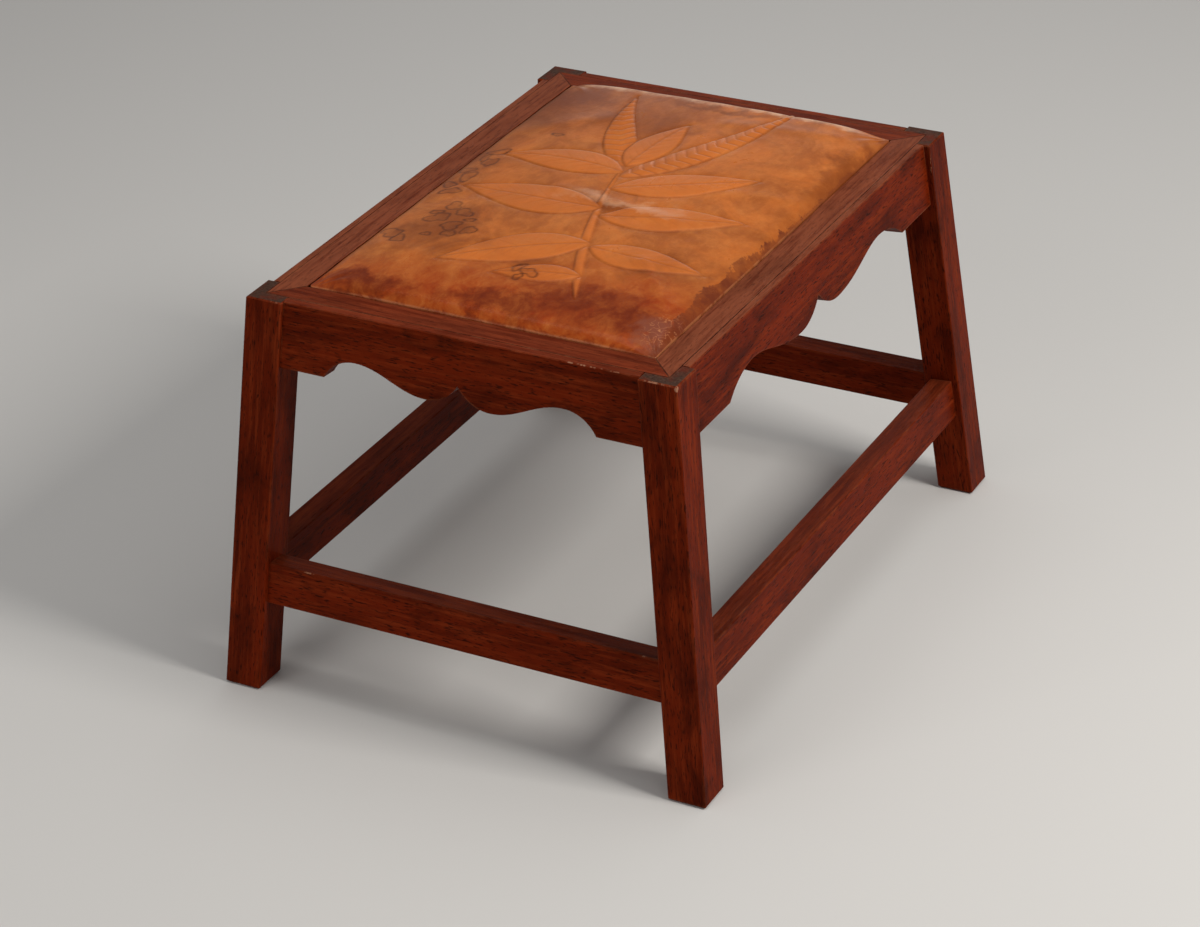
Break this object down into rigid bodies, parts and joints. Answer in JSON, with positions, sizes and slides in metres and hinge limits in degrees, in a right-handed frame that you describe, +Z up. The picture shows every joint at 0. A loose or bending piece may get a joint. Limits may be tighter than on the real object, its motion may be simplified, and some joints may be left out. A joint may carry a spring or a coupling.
{
  "type": "stool",
  "caption": "Low rectangular stool with splayed square legs, scalloped aprons, a box of stretchers and a padded leather slip seat",
  "frame": {"origin": "on the floor, under the middle of the seat", "axes": "+X to the right along the short ends, +Y to the back along the long sides, +Z up"},
  "size_m": [0.5092, 0.6632, 0.42],
  "materials": {
    "show_wood": "red-brown varnish, semi-gloss, worn at the edges",
    "inner_wood": "sawn, unfinished",
    "leather": "tooled, glazed orange-tan with darker edges",
    "padding": "felted filling"
  },
  "bodies": {
    "root": {"leg_front_left": "show_wood", "leg_front_right": "show_wood", "leg_back_right": "show_wood", "leg_back_left": "show_wood", "apron_front": "show_wood", "apron_right": "show_wood", "apron_back": "show_wood", "apron_left": "show_wood", "stretcher_front": "show_wood", "stretcher_right": "show_wood", "stretcher_back": "show_wood", "stretcher_left": "show_wood", "seat_rail_front": "show_wood", "seat_rail_right": "show_wood", "seat_rail_back": "show_wood", "seat_rail_left": "show_wood", "corner_block_front_left": "inner_wood", "corner_block_front_right": "inner_wood", "corner_block_back_right": "inner_wood", "corner_block_back_left": "inner_wood", "seat_board": "inner_wood", "leather_cover": "leather", "seat_padding": "padding"}
  },
  "joints": []
}
